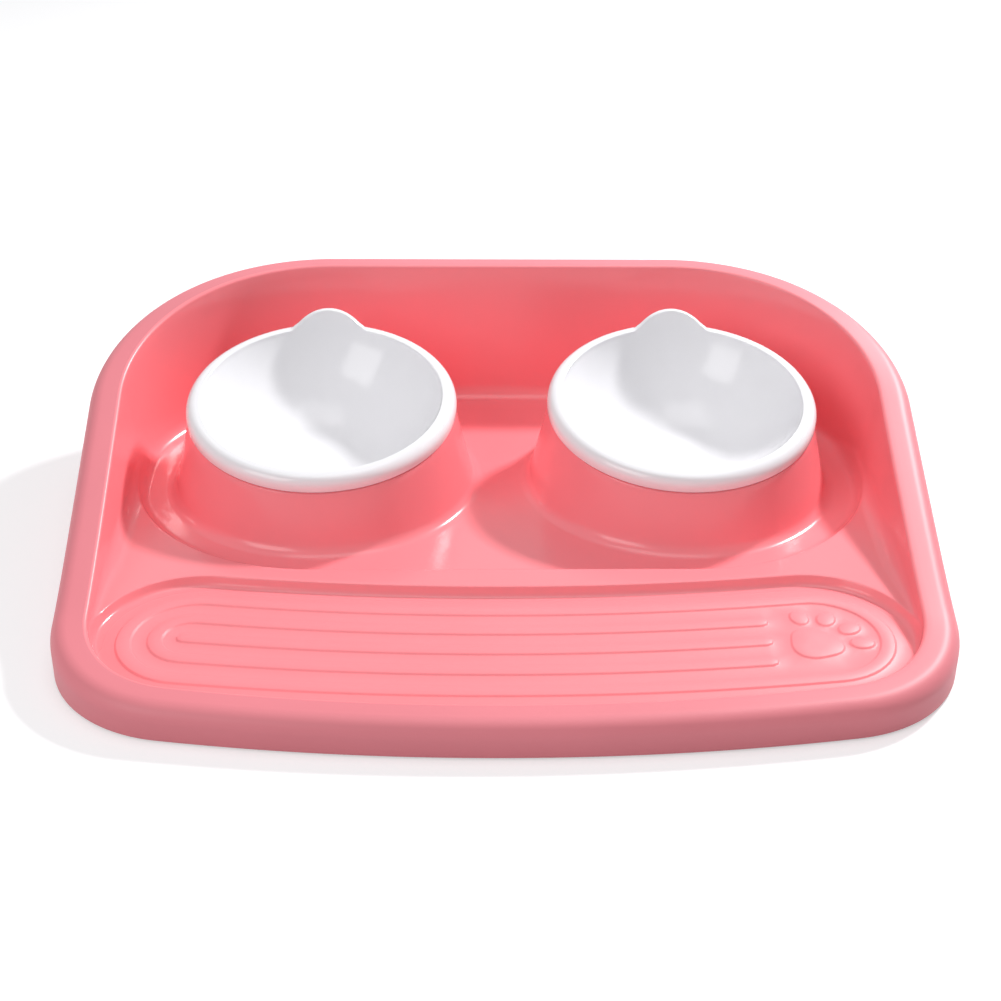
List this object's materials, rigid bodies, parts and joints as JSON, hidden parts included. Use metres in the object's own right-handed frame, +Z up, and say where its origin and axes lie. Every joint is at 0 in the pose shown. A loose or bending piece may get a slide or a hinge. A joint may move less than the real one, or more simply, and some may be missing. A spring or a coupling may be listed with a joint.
{
  "type": "double pet bowl",
  "caption": "Moulded feeding tray with a high rolled back, tilted white lift-out bowls on round pedestals, a ribbed tread and a raised paw print in front.",
  "frame": {"origin": "centre of the tray's outline, on the table that the feet stand on", "axes": "+X to the right along the tray, +Y from its low front edge to its high back, +Z up"},
  "size_m": [0.3976, 0.3226, 0.0851],
  "materials": {
    "tray_plastic": "glossy moulded polypropylene, with a satin lip",
    "bowl_plastic": "glossy white moulding",
    "foot_rubber": "matt rubber"
  },
  "bodies": {
    "tray": {"tray": "tray_plastic", "foot_front_left": "foot_rubber", "foot_front_centre": "foot_rubber", "foot_front_right": "foot_rubber", "foot_rear_left": "foot_rubber", "foot_rear_centre": "foot_rubber", "foot_rear_right": "foot_rubber"},
    "bowl_left": {"bowl_left": "bowl_plastic"},
    "bowl_right": {"bowl_right": "bowl_plastic"}
  },
  "joints": [
    {"name": "bowl_left_lift", "type": "slide", "parent": "tray", "child": "bowl_left", "axis": [0, -0.1736, 0.9848], "range_m": [0, 0.08]},
    {"name": "bowl_right_lift", "type": "slide", "parent": "tray", "child": "bowl_right", "axis": [0, -0.1736, 0.9848], "range_m": [0, 0.08]}
  ]
}
